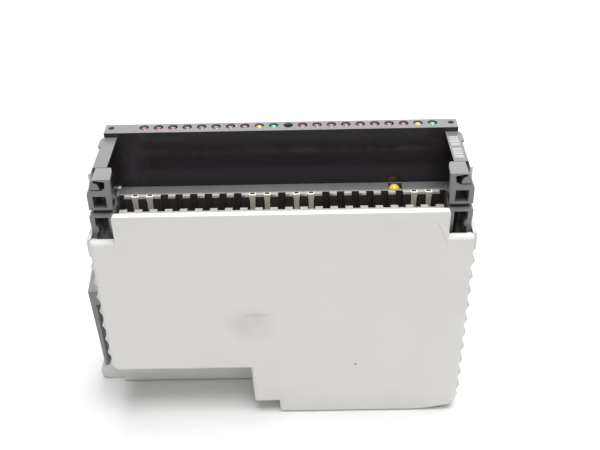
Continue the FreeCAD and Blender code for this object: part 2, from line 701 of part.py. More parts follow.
def chip_row(centres, size):
    """Chips of one size, lying on the near face of the main board."""
    width, depth, height = size
    chips = []
    for x, z in centres:
        body = box((x - width / 2, x + width / 2), (BOARD_Y[0] - depth, BOARD_Y[0]),
                   (z - height / 2, z + height / 2))
        chips.append(body)
    return Part.makeCompound(chips)


def capacitors():
    """Upright cans lying against the board."""
    cans = [cylinder(CAN_R, (x, BOARD_Y[0] - CAN_R, CAN_FOOT_Z), CAN_HEIGHT) for x in CAN_PLACES_X]
    return Part.makeCompound(cans)


def lamp_ribbon():
    """Flat flexible ribbon from the main board up to the lamp board."""
    x_span = (-RIBBON_HALF, RIBBON_HALF)
    upright = box(x_span, RIBBON_Y, (RIBBON_FOOT_Z, LAMP_BOARD_Z[1]))
    tail = box(x_span, (BOARD_Y[1], RIBBON_Y[1]), (RIBBON_FOOT_Z, RIBBON_FOOT_Z + RIBBON_T))
    return fuse([upright, tail])


def reset_button():
    """Yellow domed push button with a flange and a stem."""
    centre = (BUTTON_X, BUTTON_Y)
    flange_foot, flange_top = BUTTON_FLANGE_Z
    dome = Part.makeSphere(BUTTON_R, V(*centre, BUTTON_DOME_Z))
    body = cylinder(BUTTON_R, (*centre, flange_foot), BUTTON_DOME_Z - flange_foot)
    flange = cylinder(BUTTON_FLANGE_R, (*centre, flange_foot), flange_top - flange_foot)
    stem = cylinder(STEM_R, (*centre, STEM_FOOT_Z), flange_foot - STEM_FOOT_Z)
    return fuse([body, dome, flange, stem])


def button_spring():
    """Return spring between the switch and the button's flange."""
    height = BUTTON_FLANGE_Z[0] - SWITCH_Z[1]
    spring = coil(BUTTON_SPRING_R, BUTTON_SPRING_WIRE, height, BUTTON_SPRING_TURNS)
    spring.translate(V(BUTTON_X, BUTTON_Y, SWITCH_Z[1]))
    return spring


def button_switch():
    """Switch block on the main board with a guide bore for the button's stem."""
    width = (BUTTON_X - SWITCH_HALF, BUTTON_X + SWITCH_HALF)
    body = box(width, (BOARD_Y[1], BUTTON_Y + SWITCH_HALF), SWITCH_Z)
    bore = cylinder(STEM_R + STEM_GAP, (BUTTON_X, BUTTON_Y, STEM_BORE_Z), SWITCH_Z[1] + OVERCUT - STEM_BORE_Z)
    return cut(body, [bore])


def bus_connector():
    """Shroud under the overhang that surrounds the rear contacts."""
    body = box(BUS_X, BUS_Y, (BUS_FOOT_Z, OVERHANG_Z))
    cavity = box((BUS_X[0] + BUS_WALL, BUS_X[1] - BUS_WALL), (BUS_Y[0] + BUS_WALL, BUS_Y[1] - BUS_WALL),
                 (BUS_FOOT_Z - OVERCUT, BUS_CAVITY_Z))
    return cut(body, [cavity] + contact_boxes())


def contact_places():
    """X place of every rear contact."""
    middle = sum(BUS_X) / 2
    return [middle + (i - (BUS_CONTACTS - 1) / 2) * BUS_CONTACT_PITCH for i in range(BUS_CONTACTS)]


def contact_boxes():
    """Flat contacts that stand in the shroud."""
    half_x, half_y = BUS_CONTACT_HALF
    return [box((x - half_x, x + half_x), (BOARD_MID_Y - half_y, BOARD_MID_Y + half_y), BUS_CONTACT_Z)
            for x in contact_places()]


def bus_contacts():
    """Rear contacts, as separate blades."""
    return Part.makeCompound(contact_boxes())


def hook_foot():
    """Round-nosed foot beside the shroud, which hooks under the rack's edge."""
    nose_x = FOOT_X[0] + FOOT_TOP_Z / 2
    block = box((nose_x, FOOT_X[1]), FOOT_Y, (0.0, FOOT_TOP_Z))
    nose = cylinder(FOOT_TOP_Z / 2, (nose_x, FOOT_Y[0], FOOT_TOP_Z / 2), FOOT_Y[1] - FOOT_Y[0], Y_AXIS)
    return fuse([block, nose])


def latch_lever():
    """Spring-loaded lever that turns on the pin at its knee; its upper arm slopes back."""
    body = prism(LEVER_OUTLINE, LEVER_Y)
    slot = box((PIVOT_X - LUG_ROOM, PIVOT_X + LUG_ROOM), (LUG_Y[0] - LUG_GAP, LUG_Y[1] + LUG_GAP),
               (PIVOT_Z - LUG_ROOM, PIVOT_Z + LUG_ROOM))
    bore_y = LEVER_Y[0] + PIN_COVER
    bore = cylinder(PIVOT_R + PIVOT_GAP, (PIVOT_X, bore_y, PIVOT_Z), LEVER_Y[1] + OVERCUT - bore_y, Y_AXIS)
    pocket = cylinder(LATCH_SPRING_R + LATCH_SPRING_ROOM, (LATCH_SPRING_X[0], BOARD_MID_Y, LATCH_SPRING_Z),
                      LUG_ROOM, X_AXIS)
    slope = end_prism(LEVER_BEVEL, (PIVOT_X - LUG_ROOM, PIVOT_X + LUG_ROOM))
    rebate = box(REBATE_X, REBATE_Y, REBATE_Z)
    return cut(body, [slot, bore, pocket, slope, rebate])


def latch_pin():
    """Pin through the lug and both cheeks of the lever, hidden from the near side."""
    start_y = LEVER_Y[0] + PIN_COVER + PIN_PLAY
    return cylinder(PIVOT_R, (PIVOT_X, start_y, PIVOT_Z), LEVER_Y[1] - PIN_PLAY - start_y, Y_AXIS)


def latch_spring():
    """Spring between the end wall and the lever's upper arm."""
    length = LATCH_SPRING_X[1] - LATCH_SPRING_X[0]
    spring = coil(LATCH_SPRING_R, LATCH_SPRING_WIRE, length, LATCH_SPRING_TURNS)
    spring.rotate(V(0, 0, 0), Y_AXIS, 90)
    spring.translate(V(LATCH_SPRING_X[0], BOARD_MID_Y, LATCH_SPRING_Z))
    return spring


def pieces():
    """Every node's name and shape."""
    bracket = end_bracket()
    cheek = bracket_cheek()
    nodes = {
        "housing": housing(),
        "side_cover": side_cover(),
        "front_frame": front_frame(),
        "recess_screen": recess_screen(),
        "ledge_tab": ledge_tab(),
        "indicator_bar": indicator_bar(),
        "right_end_bracket": bracket,
        "left_end_bracket": mirror_x(bracket),
        "right_cheek": cheek,
        "left_cheek": mirror_x(cheek),
        "terminal_header": terminal_header(),
        "terminal_pins": terminal_pins(),
        "lamp_board": lamp_board(),
        "lamp_leads": Part.makeCompound(lead_boxes(0.0)),
        "main_board": main_board(),
        "board_screws": board_screws(),
        "optocouplers": chip_row(ISOLATOR_PLACES, ISOLATOR),
        "output_drivers": chip_row(DRIVER_PLACES, DRIVER),
        "controller_chip": chip_row([CONTROLLER_PLACE], CONTROLLER),
        "capacitors": capacitors(),
        "lamp_ribbon": lamp_ribbon(),
        "reset_button": reset_button(),
        "button_spring": button_spring(),
        "button_switch": button_switch(),
        "bus_connector": bus_connector(),
        "bus_contacts": bus_contacts(),
        "hook_foot": hook_foot(),
        "latch_lever": latch_lever(),
        "latch_pin": latch_pin(),
        "latch_spring": latch_spring(),
    }
    for slot, name in lamp_names().items():
        nodes[name] = lamp(slot)
    for number, groove in enumerate(CODED_GROOVES, start=1):
        nodes["coding_profile_%02d" % number] = coding_profile(groove)
    return nodes


def main():
    os.makedirs("parts", exist_ok=True)
    for name, shape in pieces().items():
        shape.exportStep("parts/%s.step" % name)
        valid = "valid" if shape.isValid() else "NOT VALID"
        print("%-20s %2d solids %10.2f mm3 %s" % (name, len(shape.Solids), shape.Volume, valid))


if __name__ == "__main__":
    main()
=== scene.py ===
import json
import math
from collections import namedtuple

import bpy
from mathutils import Matrix, Vector


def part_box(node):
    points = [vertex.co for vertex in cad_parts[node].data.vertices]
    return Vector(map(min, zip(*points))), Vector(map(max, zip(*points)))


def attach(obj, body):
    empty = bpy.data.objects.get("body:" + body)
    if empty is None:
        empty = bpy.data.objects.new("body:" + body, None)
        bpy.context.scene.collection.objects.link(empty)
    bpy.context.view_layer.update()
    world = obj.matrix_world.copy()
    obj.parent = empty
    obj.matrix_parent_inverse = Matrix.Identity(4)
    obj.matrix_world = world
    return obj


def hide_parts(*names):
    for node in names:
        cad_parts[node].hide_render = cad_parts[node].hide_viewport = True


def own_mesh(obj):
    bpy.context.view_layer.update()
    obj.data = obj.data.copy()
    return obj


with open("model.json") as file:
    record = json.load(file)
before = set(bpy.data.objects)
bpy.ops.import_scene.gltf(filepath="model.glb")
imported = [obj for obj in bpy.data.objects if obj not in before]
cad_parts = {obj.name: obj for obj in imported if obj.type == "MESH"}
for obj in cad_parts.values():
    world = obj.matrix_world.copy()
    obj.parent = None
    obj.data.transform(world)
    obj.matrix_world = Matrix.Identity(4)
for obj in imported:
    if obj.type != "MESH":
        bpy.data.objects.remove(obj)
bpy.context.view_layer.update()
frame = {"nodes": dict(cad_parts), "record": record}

# Looks of a slim input/output module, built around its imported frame.
# Places and sizes at the top are millimetres in the part frame; colours are linear.
MM = 0.001
BODY = "module_body"

# ---- numbers of the Mix node's sockets that work on colours ----
MIX_FACTOR = 0
MIX_FIRST = 6
MIX_SECOND = 7
MIX_RESULT = 2

# ---- colours ----
CASING = (0.70, 0.69, 0.67)
FRAME = (0.166, 0.163, 0.167)
LEVER_LOWER = (0.215, 0.205, 0.215)
# painted light: the paler colour of the lever's upward-sloping upper arm
LEVER_UPPER_LIT = (0.40, 0.385, 0.38)
SCREEN = (0.033, 0.028, 0.033)
HAZE = (0.55, 0.54, 0.57)
SOCKET = (0.066, 0.054, 0.053)
# pale colour of the painted sheen on the header's upward faces
SOCKET_TOP_SHEEN = (0.42, 0.41, 0.38)
KEY = (0.88, 0.86, 0.75)
TIN = (0.72, 0.66, 0.50)
STEEL = (0.60, 0.60, 0.62)
MASK_GREEN = (0.02, 0.12, 0.045)
TRACK_GREEN = (0.05, 0.25, 0.09)
CHIP = (0.018, 0.018, 0.020)
CAN = (0.65, 0.65, 0.67)
BUTTON = (0.90, 0.72, 0.09)
FILM = (0.50, 0.22, 0.03)
INK = (0.60, 0.60, 0.63)
FLOOR_DARKER = (0.86, 0.86, 0.86)
FLOOR_PALER = (0.90, 0.90, 0.90)
LENS_RIM = {"red": (0.11, 0.022, 0.035), "yellow": (0.34, 0.27, 0.04), "green": (0.05, 0.22, 0.07)}
# pale lens colours: partly the cup inside, partly a painted highlight
LENS_CUP_AND_HIGHLIGHT = {"red": (0.48, 0.24, 0.28), "yellow": (0.80, 0.70, 0.26), "green": (0.28, 0.66, 0.34)}

# ---- patterns: the spread of a noise's usual values, and the tints that moulded plastic varies by ----
MIDDLE = (0.3, 0.7)
CLOUD_SIZE = 22.0
CLOUD_TINTS = (0.965, 1.02)
CLOUD_ROUGHNESS = (-0.04, 0.05)
SPECKLE_GRAINS = 3
SPECKLE_SPREAD = (0.25, 0.75)
SPECKLE_TINT = 0.86
SPECKLE_SHARE = 0.10
# darkening in corners and pockets from ambient occlusion: painted shade, standing partly for real soiling
GRIME_AND_SHADE_REACH = 1.6
GRIME_AND_SHADE_OPENNESS = (0.25, 0.85)
GRIME_AND_SHADE_TINT = 0.35

# ---- how far up a face looks, from the first value that counts to the value that counts in full ----
UPWARD = (0.60, 0.95)

# ---- marks: a soft ellipsoid, the part of its falloff that counts, how strong it is, and its colour ----
Mark = namedtuple("Mark", "centre radii falloff share colour")
SMUDGE = Mark((-12.5, -20.15, 45.0), (10.5, 3.0, 9.5), (0.0, 0.55), 0.30, (0.40, 0.34, 0.34))
SMUDGE_CORE = Mark((-9.8, -20.15, 49.8), (5.5, 3.0, 1.3), (0.0, 0.6), 0.25, (0.28, 0.21, 0.21))
SCRATCH = Mark((53.3, -20.15, 83.6), (4.0, 3.0, 6.5), (0.0, 0.3), 0.45, (0.28, 0.28, 0.30))
SPECK = Mark((25.6, -20.15, 25.2), (0.75, 3.0, 0.75), (0.2, 0.5), 0.75, (0.05, 0.04, 0.04))
# painted shadow line across the lever's knee, where the upper piece meets the lower arm
KNEE_SHADOW = Mark((-73.8, 0.0, 44.6), (3.5, 9.0, 1.8), (0.0, 1.0), 0.6, (0.12, 0.095, 0.09))

# ---- the scratch is part of this circle about the Y axis ----
SCRATCH_CENTRE = (25.4, 0.0, 72.6)
SCRATCH_RADIUS = 30.3
SCRATCH_WIDTH = 0.5

# ---- the lever is painted paler above its knee, as painted light on its upward-sloping upper arm ----
KNEE_Z = 45.4

# ---- the recess's lining: shares of dust, film and a paler streaky patch at its left end, and its roughness ----
DUST_SHARE = 0.05
FILM_SHARE = 0.012
PALE_PATCH_SHARE = 0.09
PALE_PATCH_CENTRE = (-53.5, 14.0, 93.0)
PALE_PATCH_RADII = (8.0, 6.0, 13.0)
SCUFF_ROUGHNESS = 0.10
FILM_ROUGHNESS = (0.17, 0.24)

# ---- painted shade that darkens the frame's deep pockets ----
POCKET_SHADE_REACH = 7.0
POCKET_SHADE_OPENNESS = (0.15, 0.47)
POCKET_SHADE_SHARE = 0.7
POCKET_SHADE_COLOUR = (0.030, 0.025, 0.030)

# ---- the brackets' caps are painted slightly paler on their upward faces ----
CAP_Z = 102.5
CAP_BACK_Y = -6.1
CAP_PALING = 0.05
CAP_PALER_TONE = (0.80, 0.80, 0.82)

# ---- the header's upward faces above a height carry a painted sheen, weaker behind its grooves ----
SHEEN_Z = 87.4
SHEEN_REAR_Y = 0.1
SHEEN_REAR_SHARE = 0.55

# ---- the button's cap is yellow above its flange; the flange and stem below are painted dark as painted shade ----
FLANGE_TOP_Z = 81.2
FLANGE_SHADE = (0.05, 0.045, 0.05)

# ---- lamps: the dome's radius, and the pale cup seen in it, partly a painted highlight set toward the near side, as shares of the lens's box and radius ----
LENS_DOME = 2.1
LENS_STEPS = 8
LENS_CUP_AND_HIGHLIGHT_CENTRE = (0.5, 0.38, 0.5)
LENS_CUP_AND_HIGHLIGHT_RADIUS = 0.58
LENS_COAT = 0.7
LENS_COAT_ROUGHNESS = 0.06

# ---- springs: wire radius, free turns, the axis they lie along and their joint ----
SPRINGS = {
    "latch_spring": (0.2, 4.0, "x", "latch_swing"),
    "button_spring": (0.25, 2.0, "z", "reset_press"),
}
SPRING_PLAY = 0.03
CLOSED_TURNS = 1.0
CLOSED_PITCH = 2.1
COIL_STEPS = 28
WIRE_STEPS = 10

# ---- printed bars on the right-hand rail, in pairs; a step counts pitches from the first pair ----
RAIL_TOP = 103.3
INK_THICK = 0.02
BAR_X = (58.1, 61.2)
BAR_FIRST_Y = 10.3
BAR_PITCH = 2.25
BAR_STEPS = (0, 1, 2, 3.6, 4.6, 5.6)
BAR_WIDE = 0.5

# ---- camera: place in millimetres, angles in degrees ----
CAMERA_PLACE = (7.60, -247.58, 248.62)
CAMERA_PITCH = 35.151
CAMERA_YAW = 0.352
CAMERA_ROLL = -1.223
LENS_LENGTH = 51.04
SENSOR_WIDTH = 36.0

# ---- light: place, size and radiance of each area light, and the place they aim at ----
WORLD_STRENGTH = 0.16
LIGHT_AIM = (0, 0, 60)
LIGHTS = {
    "top_light": ((110, -40, 1000), (900, 700), 7.3),
    "back_light": ((0, 1100, 560), (1500, 600), 2.4),
    "front_light": ((0, -1100, 350), (1500, 500), 1.0),
}

# ---- how far the floor reaches each way ----
FLOOR_REACH = 4000.0

# ---- widths of rounded edges; points within the weld's reach are one; angles are in degrees ----
ROUNDS = {
    "side_cover": 0.45,
    "housing": 0.3,
    "front_frame": 0.22,
    "indicator_bar": 0.22,
    "left_end_bracket": 0.25,
    "right_end_bracket": 0.25,
    "terminal_header": 0.18,
    "latch_lever": 0.3,
    "hook_foot": 0.4,
    "bus_connector": 0.3,
    "recess_screen": 0.08,
}
WELD_REACH = 0.001
FLAT_ANGLE = 0.5
SHARP_ANGLE = 35


# ------------------------------------------------------------------ node materials

class Paint:
    """A material with a Principled shader, and short ways to add and join nodes."""

    def __init__(self, name, roughness=0.5, specular=0.5):
        self.material = bpy.data.materials.new(name)
        self.material.use_nodes = True
        self.tree = self.material.node_tree
        self.shader = self.tree.nodes["Principled BSDF"]
        self.shader.inputs["Roughness"].default_value = roughness
        self.shader.inputs["Specular IOR Level"].default_value = specular
        self.place = self.node("ShaderNodeTexCoord").outputs["Object"]

    def node(self, kind, **values):
        """Adds a node; values set its properties."""
        made = self.tree.nodes.new(kind)
        for key, value in values.items():
            setattr(made, key, value)
        return made

    def join(self, output, target):
        """Joins an output to an input."""
        self.tree.links.new(output, target)

    def feed(self, target, source):
        """Puts a number, a colour or another node's output into an input."""
        if isinstance(source, bpy.types.NodeSocket):
            self.join(source, target)
        elif isinstance(source, tuple) and len(source) == 3 and target.type == "RGBA":
            target.default_value = (*source, 1.0)
        else:
            target.default_value = source

    def noise(self, size, detail=2.0, stretch=(1, 1, 1)):
        """Smooth noise from 0 to 1, with features of about the given size."""
        mapping = self.node("ShaderNodeMapping")
        mapping.inputs["Scale"].default_value = [s / (size * MM) for s in stretch]
        self.join(self.place, mapping.inputs["Vector"])
        texture = self.node("ShaderNodeTexNoise")
        texture.inputs["Scale"].default_value = 1.0
        texture.inputs["Detail"].default_value = detail
        self.join(mapping.outputs["Vector"], texture.inputs["Vector"])
        return texture.outputs["Fac"]

    def ramp(self, source, low, high, to_low=0.0, to_high=1.0):
        """Rescales a value from low..high to to_low..to_high, clamped."""
        remap = self.node("ShaderNodeMapRange")
        for key, value in (("Value", source), ("From Min", low), ("From Max", high),
                           ("To Min", to_low), ("To Max", to_high)):
            self.feed(remap.inputs[key], value)
        return remap.outputs["Result"]

    def maths(self, operation, first, second=0.0):
        """One arithmetic step."""
        step = self.node("ShaderNodeMath", operation=operation)
        self.feed(step.inputs[0], first)
        self.feed(step.inputs[1], second)
        return step.outputs["Value"]

    def product(self, first, second):
        """Multiplies two values."""
        return self.maths("MULTIPLY", first, second)

    def vector(self, operation, first, second=(0, 0, 0)):
        """One arithmetic step on vectors; the second one is fixed."""
        step = self.node("ShaderNodeVectorMath", operation=operation)
        self.join(first, step.inputs[0])
        step.inputs[1].default_value = second
        return step.outputs["Value" if operation == "LENGTH" else "Vector"]

    def blend(self, factor, first, second):
        """Mixes two colours."""
        mix = self.node("ShaderNodeMix", data_type="RGBA", blend_type="MIX")
        self.feed(mix.inputs[MIX_FACTOR], factor)
        self.feed(mix.inputs[MIX_FIRST], first)
        self.feed(mix.inputs[MIX_SECOND], second)
        return mix.outputs[MIX_RESULT]

    def bump(self, height, depth, strength=1.0):
        """Adds a relief of a depth to the shader's normal."""
        relief = self.node("ShaderNodeBump")
        relief.inputs["Distance"].default_value = depth * MM
        relief.inputs["Strength"].default_value = strength
        self.join(height, relief.inputs["Height"])
        self.join(relief.outputs["Normal"], self.shader.inputs["Normal"])

    def colour(self, source):
        """Sets the base colour."""
        self.feed(self.shader.inputs["Base Color"], source)

    def base(self):
        """The output that now feeds the base colour."""
        return self.shader.inputs["Base Color"].links[0].from_socket

    def roughness(self, source):
        """Sets the roughness."""
        self.feed(self.shader.inputs["Roughness"], source)

    def openness(self, reach):
        """1 in open places, lower in corners and pockets."""
        shade = self.node("ShaderNodeAmbientOcclusion", samples=8)
        shade.inputs["Distance"].default_value = reach * MM
        return shade.outputs["AO"]

    def patch(self, centre, radii):
        """1 at a place in the part frame, falling to 0 at an ellipsoid's edge."""
        offset = self.vector("SUBTRACT", self.place, [c * MM for c in centre])
        share = self.vector("DIVIDE", offset, [r * MM for r in radii])
        return self.ramp(self.vector("LENGTH", share), 1.0, 0.0)

    def arc(self, centre, radius, width):
        """1 on a circle about the Y axis through a centre, falling to 0 at the line's edges."""
        offset = self.vector("SUBTRACT", self.place, [c * MM for c in centre])
        flat = self.vector("MULTIPLY", offset, (1, 0, 1))
        away = self.maths("ABSOLUTE", self.maths("SUBTRACT", self.vector("LENGTH", flat), radius * MM))
        return self.ramp(away, width * MM / 2, 0.0)

    def upward(self):
        """1 on faces that look up in the part frame, 0 on upright ones."""
        split = self.node("ShaderNodeSeparateXYZ")
        self.join(self.node("ShaderNodeTexCoord").outputs["Normal"], split.inputs["Vector"])
        return self.ramp(split.outputs["Z"], *UPWARD)

    def beyond(self, axis, limit, softness=0.1):
        """1 where a part-frame coordinate is above a limit, 0 below it."""
        split = self.node("ShaderNodeSeparateXYZ")
        self.join(self.place, split.inputs["Vector"])
        return self.ramp(split.outputs[axis], (limit - softness) * MM, (limit + softness) * MM)

    def stain(self, mark, pattern=None):
        """Lays a mark's colour over the base colour, broken up by a pattern."""
        mask = self.ramp(self.patch(mark.centre, mark.radii), *mark.falloff)
        if pattern is not None:
            mask = self.product(mask, pattern)
        self.colour(self.blend(self.product(mask, mark.share), self.base(), mark.colour))


def scaled(colour, factor):
    """A colour made lighter or darker."""
    return tuple(min(1.0, channel * factor) for channel in colour)


def moulded(name, colour, roughness=0.5, specular=0.5, grain=0.25, grain_depth=0.012, grime_and_shade=0.25):
    """Spark-textured moulded plastic: cloudy tint, fine grain and a little darkening in its corners,
    painted shade that stands partly for real soiling.
    """
    paint = Paint(name, roughness, specular)
    cloud = paint.noise(CLOUD_SIZE, detail=3.0)
    darker, paler = (scaled(colour, tint) for tint in CLOUD_TINTS)
    tint = paint.blend(paint.ramp(cloud, *MIDDLE), darker, paler)
    speckle = paint.ramp(paint.noise(grain * SPECKLE_GRAINS), *SPECKLE_SPREAD, to_high=SPECKLE_SHARE)
    tint = paint.blend(speckle, tint, scaled(colour, SPECKLE_TINT))
    # painted shade in corners, partly real soiling: darker where the surface is hemmed in
    corner_darkening = paint.ramp(paint.openness(GRIME_AND_SHADE_REACH), *GRIME_AND_SHADE_OPENNESS, to_low=grime_and_shade, to_high=0.0)
    paint.colour(paint.blend(corner_darkening, tint, scaled(colour, GRIME_AND_SHADE_TINT)))
    smoother, rougher = (roughness + change for change in CLOUD_ROUGHNESS)
    paint.roughness(paint.ramp(cloud, *MIDDLE, to_low=smoother, to_high=rougher))
    paint.bump(paint.noise(grain, detail=3.0), grain_depth)
    return paint


def casing_plastic():
    """Light grey casing plastic with a smudge, a scratch and a speck on its near side."""
    paint = moulded("casing_grey", CASING, roughness=0.48, grain=0.22, grain_depth=0.008, grime_and_shade=0.16)
    cloud = paint.ramp(paint.noise(6.0, detail=4.0), *MIDDLE, to_low=0.35)
    paint.stain(SMUDGE, cloud)
    paint.stain(SMUDGE_CORE, cloud)
    paint.stain(SCRATCH, paint.arc(SCRATCH_CENTRE, SCRATCH_RADIUS, SCRATCH_WIDTH))
    paint.stain(SPECK)
    return paint.material


def socket_plastic():
    """Dark brown header plastic with a painted sheen on its upward faces at the top."""
    paint = moulded("socket_brown", SOCKET, roughness=0.45, grime_and_shade=0.2)
    # painted sheen: the upward faces at the top are painted pale, broken up by noise, weaker behind the
    # grooves
    sheen_breakup = paint.ramp(paint.noise(0.9, detail=3.0), 0.25, 0.60, to_low=0.80)
    rim = paint.product(paint.product(paint.upward(), paint.beyond("Z", SHEEN_Z)), sheen_breakup)
    sheen_behind_grooves = paint.ramp(paint.beyond("Y", SHEEN_REAR_Y), 0.0, 1.0, to_low=1.0, to_high=SHEEN_REAR_SHARE)
    paint.colour(paint.blend(paint.product(rim, sheen_behind_grooves), paint.base(), SOCKET_TOP_SHEEN))
    return paint.material


def frame_plastic():
    """Darker satin plastic of the frame, the brackets and the indicator bar, with painted shade in its
    deep pockets.
    """
    paint = moulded("frame_grey", FRAME, roughness=0.40, specular=0.85, grain=0.30, grime_and_shade=0.35)
    # painted shade: the deep pockets are darkened towards near black, where little light reaches
    pocket_shade = paint.ramp(paint.openness(POCKET_SHADE_REACH), *POCKET_SHADE_OPENNESS, to_low=POCKET_SHADE_SHARE, to_high=0.0)
    pocket_shaded = paint.blend(pocket_shade, paint.base(), POCKET_SHADE_COLOUR)
    near = paint.maths("SUBTRACT", 1.0, paint.beyond("Y", CAP_BACK_Y))
    cap = paint.product(paint.product(paint.upward(), paint.beyond("Z", CAP_Z)), near)
    paint.colour(paint.blend(paint.product(cap, CAP_PALING), pocket_shaded, CAP_PALER_TONE))
    return paint.material


def lever_plastic():
    """The same kind of plastic, painted paler above the knee as painted light, with a painted shadow line
    at the knee.
    """
    paint = moulded("lever_grey", LEVER_LOWER, roughness=0.42, specular=0.7, grime_and_shade=0.3)
    # painted light: the upper arm slopes back toward the light and is painted paler than the lower arm
    paint.colour(paint.blend(paint.beyond("Z", KNEE_Z), paint.base(), LEVER_UPPER_LIT))
    # painted shadow line at the knee, broken up by noise
    paint.stain(KNEE_SHADOW, paint.ramp(paint.noise(1.2, detail=3.0), 0.3, 0.6))
    return paint.material


def screen_plastic():
    """Black polished lining with fine dust, a paler streaky patch at its left end and hairline scuffs."""
    paint = Paint("screen_black", roughness=0.2)
    dust = paint.ramp(paint.noise(0.55), 0.70, 0.80)
    film = paint.ramp(paint.noise(26.0, detail=3.0, stretch=(1.0, 1.0, 0.5)), 0.45, 0.85)
    streaks = paint.ramp(paint.noise(3.0, detail=3.0, stretch=(1.0, 1.0, 0.3)), 0.2, 0.8)
    pale_patch = paint.product(paint.patch(PALE_PATCH_CENTRE, PALE_PATCH_RADII), streaks)
    haze = paint.maths("ADD", paint.product(dust, DUST_SHARE), paint.product(film, FILM_SHARE))
    haze = paint.maths("ADD", haze, paint.product(pale_patch, PALE_PATCH_SHARE))
    paint.colour(paint.blend(haze, SCREEN, HAZE))
    scuffs = paint.ramp(paint.noise(2.2, detail=4.0, stretch=(0.12, 1.0, 1.0)), 0.6, 0.8)
    dull = paint.ramp(film, 0.0, 1.0, *FILM_ROUGHNESS)
    paint.roughness(paint.maths("ADD", paint.product(scuffs, SCUFF_ROUGHNESS), dull))
    paint.bump(paint.noise(5.0, detail=1.0), 0.01, strength=0.4)
    return paint.material


def glossy_plastic(name, colour, roughness=0.22):
    """Smooth glossy plastic with a faint flow pattern."""
    paint = Paint(name, roughness)
    flow = paint.noise(1.6)
    paint.colour(paint.blend(paint.ramp(flow, *MIDDLE), scaled(colour, 0.93), scaled(colour, 1.05)))
    paint.roughness(paint.ramp(flow, *MIDDLE, to_low=roughness - 0.05, to_high=roughness + 0.08))
    paint.bump(paint.noise(0.5), 0.003)
    return paint


def button_plastic():
    """Glossy yellow cap; the flange and stem below it are painted dark as painted shade."""
    paint = glossy_plastic("button_yellow", BUTTON)
    # painted shade: all below the flange's top is painted dark
    paint.colour(paint.blend(paint.beyond("Z", FLANGE_TOP_Z), FLANGE_SHADE, paint.base()))
    return paint.material


def lens_plastic(name, rim, middle):
    """Glossy tinted lens, pale over its cup, partly as a painted highlight toward the near side, and deep
    at its rim.
    """
    paint = Paint(name, roughness=0.12, specular=0.6)
    box_place = paint.node("ShaderNodeTexCoord").outputs["Generated"]
    # The box is one wide, so twice the offset makes the lens's radius 1; its height doesn't count.
    flat = paint.vector("MULTIPLY", paint.vector("SUBTRACT", box_place, LENS_CUP_AND_HIGHLIGHT_CENTRE), (2, 2, 0))
    # pale over the cup, set toward the near side: partly the lit cup inside, partly a painted highlight
    cup = paint.ramp(paint.vector("LENGTH", flat), LENS_CUP_AND_HIGHLIGHT_RADIUS, 0.0)
    flow = paint.ramp(paint.noise(0.7), *MIDDLE, to_low=0.75)
    paint.colour(paint.blend(paint.product(cup, flow), rim, middle))
    paint.shader.inputs["Coat Weight"].default_value = LENS_COAT
    paint.shader.inputs["Coat Roughness"].default_value = LENS_COAT_ROUGHNESS
    return paint.material


def metal(name, colour, roughness=0.3, along=(1.0, 1.0, 1.0)):
    """Plated metal, with fine lines along the axis whose stretch is below 1."""
    paint = Paint(name, roughness)
    paint.shader.inputs["Metallic"].default_value = 1.0
    lines = paint.noise(0.25, detail=3.0, stretch=along)
    paint.colour(paint.blend(paint.ramp(lines, *MIDDLE), scaled(colour, 0.8), scaled(colour, 1.1)))
    paint.roughness(paint.ramp(lines, *MIDDLE, to_low=roughness - 0.08, to_high=roughness + 0.1))
    paint.bump(lines, 0.004)
    return paint.material


def solder_mask():
    """Circuit board: green mask over a faint weave and raised tracks."""
    paint = Paint("board_green", roughness=0.32)
    weave = paint.ramp(paint.noise(0.6, detail=1.0), *MIDDLE)
    tracks = paint.ramp(paint.noise(2.4, detail=0.0, stretch=(1.0, 1.0, 0.12)), 0.50, 0.53)
    body = paint.blend(weave, scaled(MASK_GREEN, 0.8), scaled(MASK_GREEN, 1.1))
    paint.colour(paint.blend(paint.product(tracks, 0.6), body, TRACK_GREEN))
    paint.bump(tracks, 0.03)
    return paint.material


def printed_ink():
    """Pale printed ink, slightly uneven."""
    paint = Paint("mark_ink", roughness=0.55, specular=0.4)
    cover = paint.noise(0.35, detail=3.0)
    paint.colour(paint.blend(paint.ramp(cover, 0.35, 0.7), scaled(INK, 0.86), INK))
    paint.bump(cover, 0.004)
    return paint.material


def floor_paint():
    """Pale matt floor with a very faint cloud."""
    paint = Paint("floor_white", roughness=0.6, specular=0.3)
    paint.colour(paint.blend(paint.ramp(paint.noise(120.0), *MIDDLE), FLOOR_DARKER, FLOOR_PALER))
    return paint.material


# ------------------------------------------------------------------ meshes

def mesh_object(name, vertices, faces, material, smooth=False):
    """New object from vertices in millimetres."""
    mesh = bpy.data.meshes.new(name)
    mesh.from_pydata([[c * MM for c in v] for v in vertices], [], faces)
    mesh.validate()
    mesh.materials.append(material)
    for polygon in mesh.polygons:
        polygon.use_smooth = smooth
    made = bpy.data.objects.new(name, mesh)
    bpy.context.scene.collection.objects.link(made)
    return made


def turned(name, profile, centre, material, segments=32):
    """Solid of revolution about a vertical axis; its (radius, height) points start and end on the axis."""
    vertices = []
    rings = []
    for radius, height in profile:
        if radius == 0:
            rings.append([len(vertices)])
            vertices.append((centre[0], centre[1], height))
            continue
        rings.append(list(range(len(vertices), len(vertices) + segments)))
        for i in range(segments):
            angle = 2 * math.pi * i / segments
            x = centre[0] + radius * math.cos(angle)
            y = centre[1] + radius * math.sin(angle)
            vertices.append((x, y, height))
    faces = []
    for lower, upper in zip(rings, rings[1:]):
        for i in range(segments):
            after = (i + 1) % segments
            below = [lower[i % len(lower)], lower[after % len(lower)]]
            above = [upper[after % len(upper)], upper[i % len(upper)]]
            faces.append(list(dict.fromkeys(below + above)))
    return mesh_object(name, vertices, faces, material, smooth=True)


